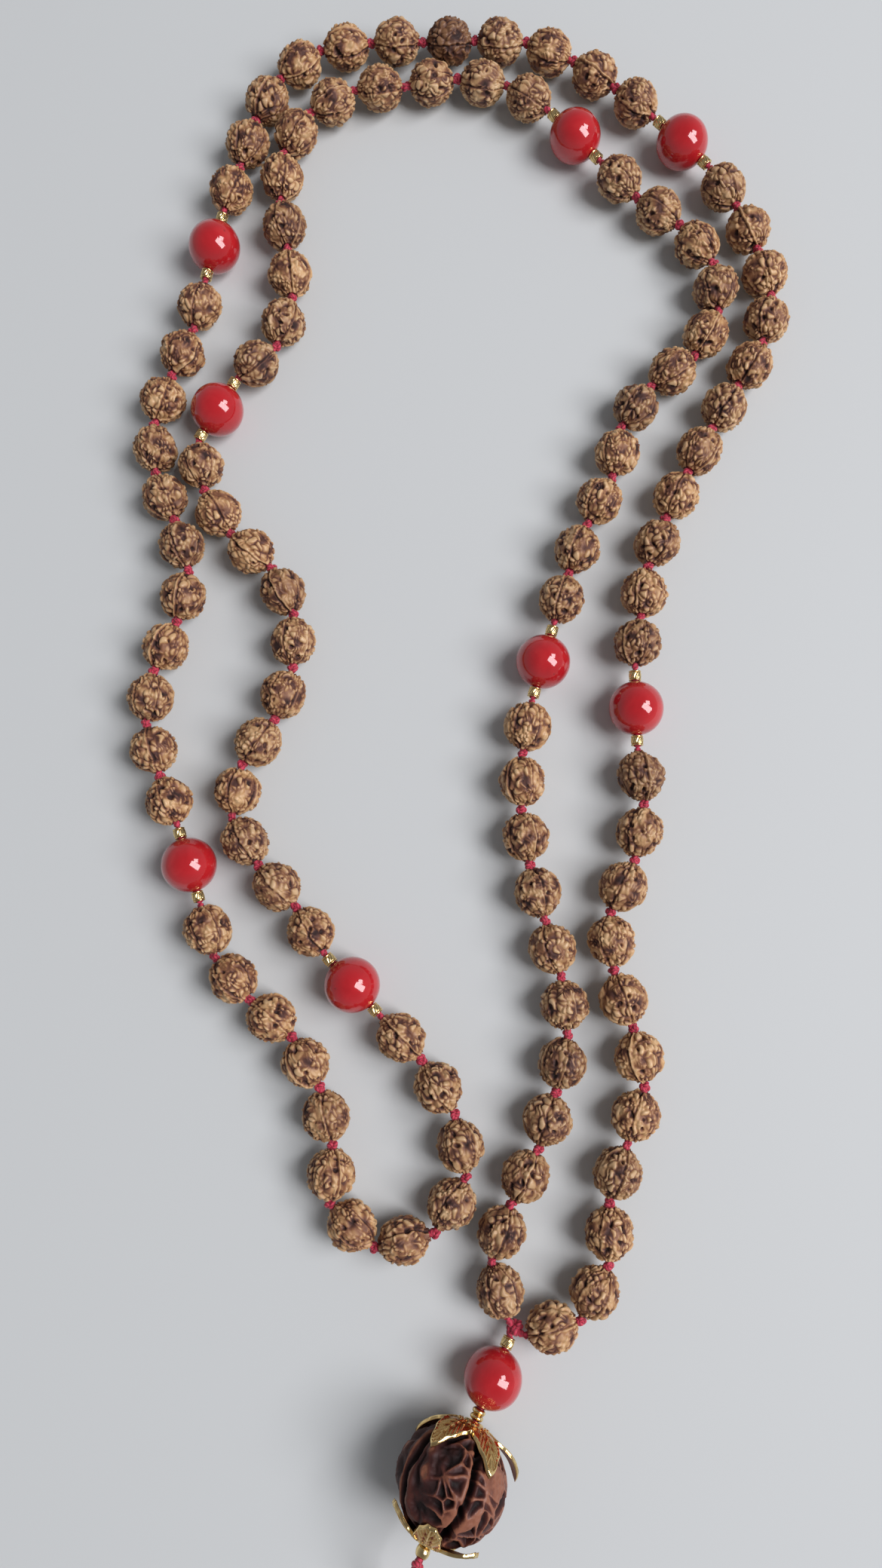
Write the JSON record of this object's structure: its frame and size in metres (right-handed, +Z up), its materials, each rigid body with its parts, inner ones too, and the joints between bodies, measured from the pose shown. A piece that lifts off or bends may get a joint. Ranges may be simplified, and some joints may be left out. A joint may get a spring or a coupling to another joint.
{
  "type": "mala prayer beads",
  "caption": "String of small ribbed seed beads with round red beads and gold spacers, laid as a bent double strand, with a capped seed bead pendant.",
  "frame": {"origin": "centre of the bead string over the table, on the table surface", "axes": "+Y from the pendant to the crown of the bent loop, +X to the right seen from above, +Z up from the table"},
  "size_m": [0.1004, 0.2547, 0.015],
  "materials": {
    "seed": "satin",
    "guru": "oiled",
    "coral": "gloss",
    "gold": "polished",
    "thread": "matt"
  },
  "bodies": {
    "crown": {"seed_bead_1c": "seed", "seed_beads_2a": "seed", "seed_beads_2b": "seed", "seed_beads_2c": "seed", "seed_beads_3a": "seed", "seed_beads_3b": "seed", "seed_beads_4a": "seed", "seed_beads_4b": "seed", "seed_beads_6b": "seed", "seed_beads_7a": "seed", "seed_beads_7b": "seed", "seed_beads_8a": "seed", "seed_beads_8b": "seed", "seed_beads_9a": "seed", "thread_crown_outer": "thread", "thread_crown_inner": "thread", "gold_spacers_1": "gold", "gold_spacers_2": "gold", "gold_spacers_3": "gold", "gold_spacers_6": "gold", "gold_spacers_7": "gold", "gold_spacers_8": "gold"},
    "right_link": {"seed_beads_right_link": "seed", "thread_right_link": "thread"},
    "right_arm": {"seed_beads_1a": "seed", "seed_beads_1b": "seed", "seed_beads_9b": "seed", "seed_beads_9c": "seed", "thread_right_outer": "thread", "thread_right_inner": "thread"},
    "left_link": {"seed_beads_left_link": "seed", "thread_left_link": "thread"},
    "left_arm": {"seed_bead_4c": "seed", "seed_beads_5a": "seed", "seed_beads_5b": "seed", "seed_beads_6a": "seed", "thread_left_arm": "thread", "gold_spacers_4": "gold", "gold_spacers_5": "gold"},
    "junction": {"junction_knot": "thread"},
    "pendant": {"pendant_thread": "thread", "pendant_spacer_upper": "gold", "pendant_spacer_middle": "gold", "pendant_spacer_lower": "gold", "tail": "thread", "tail_knot": "thread"},
    "guru": {"guru_bead": "guru", "guru_cap_upper": "gold", "guru_cap_lower": "gold"},
    "pendant_coral": {"pendant_coral": "coral"},
    "coral_1": {"coral_bead_1": "coral"},
    "coral_2": {"coral_bead_2": "coral"},
    "coral_3": {"coral_bead_3": "coral"},
    "coral_4": {"coral_bead_4": "coral"},
    "coral_5": {"coral_bead_5": "coral"},
    "coral_6": {"coral_bead_6": "coral"},
    "coral_7": {"coral_bead_7": "coral"},
    "coral_8": {"coral_bead_8": "coral"}
  },
  "joints": [
    {"name": "right_fold_upper", "type": "hinge", "parent": "crown", "child": "right_link", "pos_m": [0.01745, -0.01337, 0.0036], "axis": [-0.9993, -0.0377, 0], "range_deg": [0, 34]},
    {"name": "right_fold_lower", "type": "hinge", "parent": "right_link", "child": "right_arm", "pos_m": [0.01724, -0.02141, 0.0036], "axis": [-0.9988, -0.0482, 0], "range_deg": [0, 34]},
    {"name": "left_fold_upper", "type": "hinge", "parent": "crown", "child": "left_link", "pos_m": [-0.03704, -0.00057, 0.0036], "axis": [-0.9996, -0.0286, 0], "range_deg": [0, 34]},
    {"name": "left_fold_lower", "type": "hinge", "parent": "left_link", "child": "left_arm", "pos_m": [-0.03819, -0.00781, 0.0036], "axis": [-0.9911, -0.1328, 0], "range_deg": [0, 34]},
    {"name": "pendant_swing", "type": "hinge", "parent": "right_arm", "child": "junction", "pos_m": [0.007, -0.085, 0.0025], "axis": [0, 0, 1], "range_deg": [-25, 25]},
    {"name": "pendant_lift", "type": "hinge", "parent": "junction", "child": "pendant", "pos_m": [0.007, -0.085, 0.0025], "axis": [-0.8988, 0.4384, 0], "range_deg": [0, 70]},
    {"name": "guru_spin", "type": "hinge", "parent": "pendant", "child": "guru", "pos_m": [-0.00164, -0.10271, 0.0075], "axis": [-0.4186, -0.8582, 0.297], "continuous": true},
    {"name": "pendant_coral_spin", "type": "hinge", "parent": "pendant", "child": "pendant_coral", "pos_m": [0.00402, -0.09111, 0.004], "axis": [-0.4281, -0.8777, 0.2154], "continuous": true},
    {"name": "coral_spin_1", "type": "hinge", "parent": "crown", "child": "coral_1", "pos_m": [0.02539, 0.001, 0.004], "axis": [-0.0107, 0.9999, 0], "continuous": true},
    {"name": "coral_spin_2", "type": "hinge", "parent": "crown", "child": "coral_2", "pos_m": [0.03452, 0.09052, 0.004], "axis": [-0.7, 0.7141, 0], "continuous": true},
    {"name": "coral_spin_3", "type": "hinge", "parent": "crown", "child": "coral_3", "pos_m": [-0.0383, 0.07445, 0.004], "axis": [-0.22, -0.9755, 0], "continuous": true},
    {"name": "coral_spin_4", "type": "hinge", "parent": "left_arm", "child": "coral_4", "pos_m": [-0.03945, -0.02165, 0.004], "axis": [0.3074, -0.9516, 0], "continuous": true},
    {"name": "coral_spin_5", "type": "hinge", "parent": "left_arm", "child": "coral_5", "pos_m": [-0.01564, -0.03869, 0.004], "axis": [-0.6829, 0.7305, 0], "continuous": true},
    {"name": "coral_spin_6", "type": "hinge", "parent": "crown", "child": "coral_6", "pos_m": [-0.03713, 0.0477, 0.004], "axis": [0.4998, 0.8662, 0], "continuous": true},
    {"name": "coral_spin_7", "type": "hinge", "parent": "crown", "child": "coral_7", "pos_m": [0.01795, 0.09196, 0.004], "axis": [0.6671, -0.7449, 0], "continuous": true},
    {"name": "coral_spin_8", "type": "hinge", "parent": "crown", "child": "coral_8", "pos_m": [0.01197, 0.00801, 0.004], "axis": [-0.2783, -0.9605, 0], "continuous": true}
  ]
}
